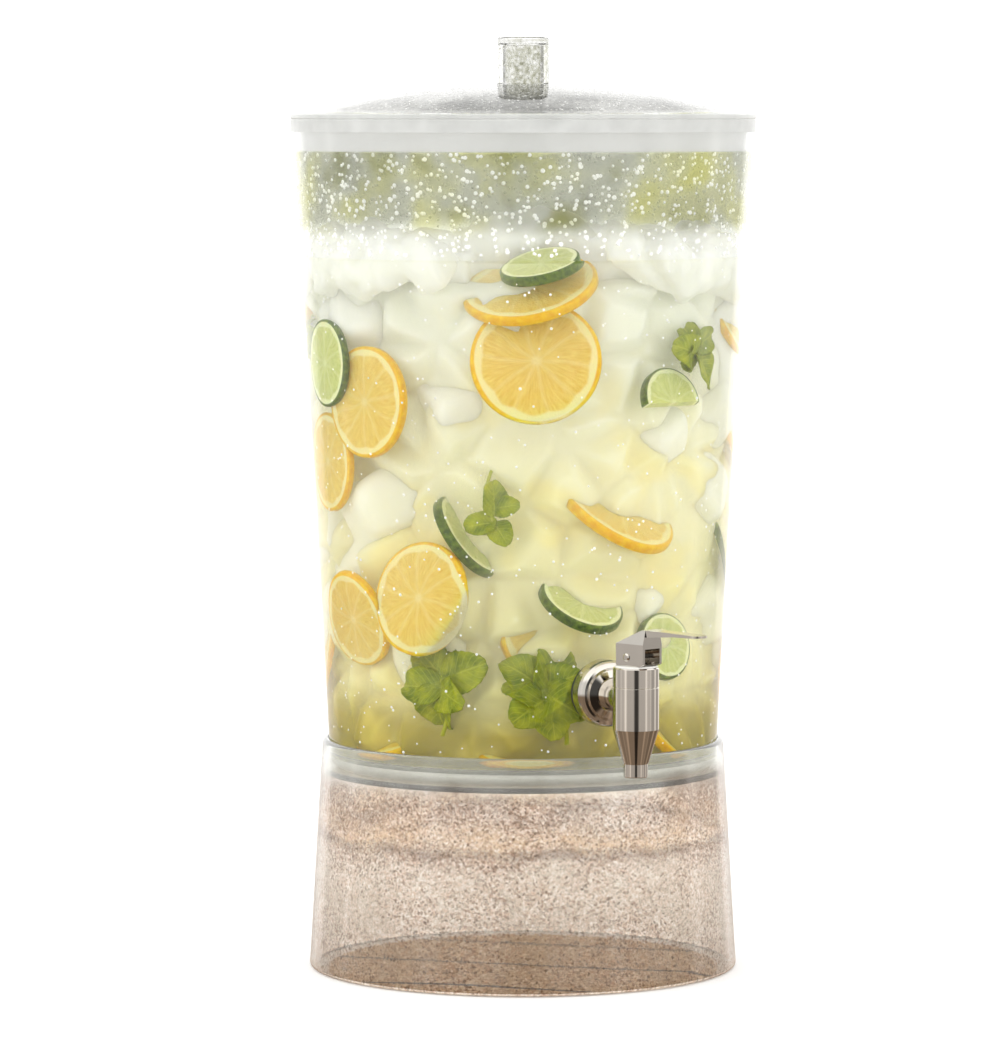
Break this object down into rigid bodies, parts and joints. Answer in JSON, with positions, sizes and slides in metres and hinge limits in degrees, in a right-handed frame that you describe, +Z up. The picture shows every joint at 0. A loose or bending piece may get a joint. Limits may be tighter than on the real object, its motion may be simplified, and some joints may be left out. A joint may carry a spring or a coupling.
{
  "type": "beverage dispenser",
  "caption": "Clear round tank in a flared clear stand, with a domed lift-off lid, hollow knob and a stainless self-closing lever tap.",
  "frame": {"origin": "on the tank's axis at the plane the stand rests on", "axes": "+Z up along the tank's axis, -Y along the tap away from the tank, +X to the right of the tap seen from the tank's back"},
  "size_m": [0.2464, 0.3166, 0.493],
  "materials": {
    "clear_plastic": "clear moulded plastic full of fine bubbles",
    "ring_plastic": "smooth milky-clear moulded plastic",
    "stand_plastic": "clear moulded plastic with a dense warm speckle of fine bubbles",
    "polished_stainless": "polished stainless steel",
    "rubber": "matt food-grade rubber",
    "nylon": "dark self-lubricating nylon",
    "spring_wire": "drawn stainless spring wire"
  },
  "bodies": {
    "stand": {"stand_shell": "stand_plastic", "stand_deck": "stand_plastic"},
    "tank": {"tank_shell": "clear_plastic", "tap_flange": "polished_stainless", "outer_gasket": "rubber", "inner_gasket": "rubber", "inner_washer": "polished_stainless", "lock_nut": "polished_stainless", "tap_shank": "polished_stainless", "tap_body": "polished_stainless", "tap_bonnet": "polished_stainless", "bonnet_oring": "rubber", "stem_seal": "rubber"},
    "lid": {"lid_dome": "clear_plastic", "lid_plug_ring": "ring_plastic", "lid_knob": "clear_plastic"},
    "swivel": {"thrust_washer": "nylon"},
    "stem": {"valve_stem": "polished_stainless", "valve_plug": "rubber", "spring_seat": "polished_stainless", "valve_spring": "spring_wire", "pivot_pin": "polished_stainless"},
    "lever": {"lever": "polished_stainless"}
  },
  "joints": [
    {"name": "tank_lift", "type": "slide", "parent": "stand", "child": "tank", "axis": [0, 0, 1], "range_m": [0, 0.06]},
    {"name": "lid_lift", "type": "slide", "parent": "tank", "child": "lid", "axis": [0, 0, 1], "range_m": [0, 0.1]},
    {"name": "lever_swivel", "type": "hinge", "parent": "tank", "child": "swivel", "pos_m": [0, -0.149, 0.173], "axis": [0, 0, 1], "range_deg": [-162, 118]},
    {"name": "stem_lift", "type": "slide", "parent": "swivel", "child": "stem", "axis": [0, 0, 1], "range_m": [0, 0.004], "deforming": ["valve_spring"]},
    {"name": "lever_press", "type": "hinge", "parent": "stem", "child": "lever", "pos_m": [0, -0.149, 0.17825], "axis": [0.9272, 0.3746, 0], "range_deg": [0, 30], "stiffness_Nm_per_rad": 0.035, "springref_deg": -60.16}
  ],
  "couplings": [
    {"joint": "stem_lift", "follows": "lever_press", "m_per_rad": 0.007639}
  ]
}
